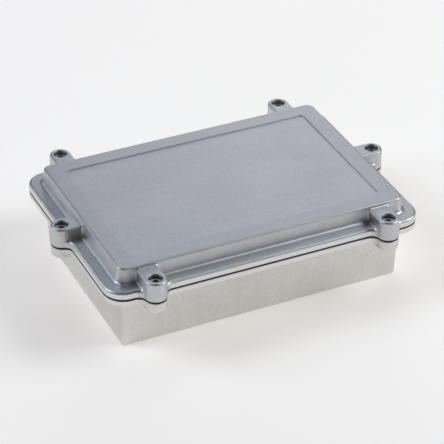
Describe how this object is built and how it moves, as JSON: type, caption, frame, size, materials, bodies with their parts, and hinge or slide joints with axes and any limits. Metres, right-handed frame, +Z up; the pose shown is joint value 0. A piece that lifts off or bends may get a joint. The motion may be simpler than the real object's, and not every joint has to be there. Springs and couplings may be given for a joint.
{
  "type": "die cast aluminium box",
  "caption": "Sealed die cast aluminium box with a tapered tray, a raised lid, a flat black gasket and socket head screws in lugs outside the seal.",
  "frame": {"origin": "middle of the underside, where the box stands", "axes": "+X along the long sides towards the right end, +Y towards the back, +Z up through the lid"},
  "size_m": [0.2286, 0.1666, 0.0574],
  "materials": {
    "base_casting": "as-cast, warm pale grey, faintly mottled",
    "lid_casting": "as-cast, bluish grey with fine dark specks",
    "gasket_rubber": "matt black sheet",
    "screw_steel": "dark plated steel"
  },
  "bodies": {
    "base": {"base": "base_casting", "gasket": "gasket_rubber"},
    "lid": {"lid": "lid_casting", "lid_screw_front_left": "screw_steel", "lid_screw_front_right": "screw_steel", "lid_screw_back_left": "screw_steel", "lid_screw_back_right": "screw_steel", "lid_screw_left": "screw_steel", "lid_screw_right": "screw_steel"}
  },
  "joints": [
    {"name": "lid_lift", "type": "slide", "parent": "base", "child": "lid", "axis": [0, 0, 1], "range_m": [0, 0.06]}
  ]
}
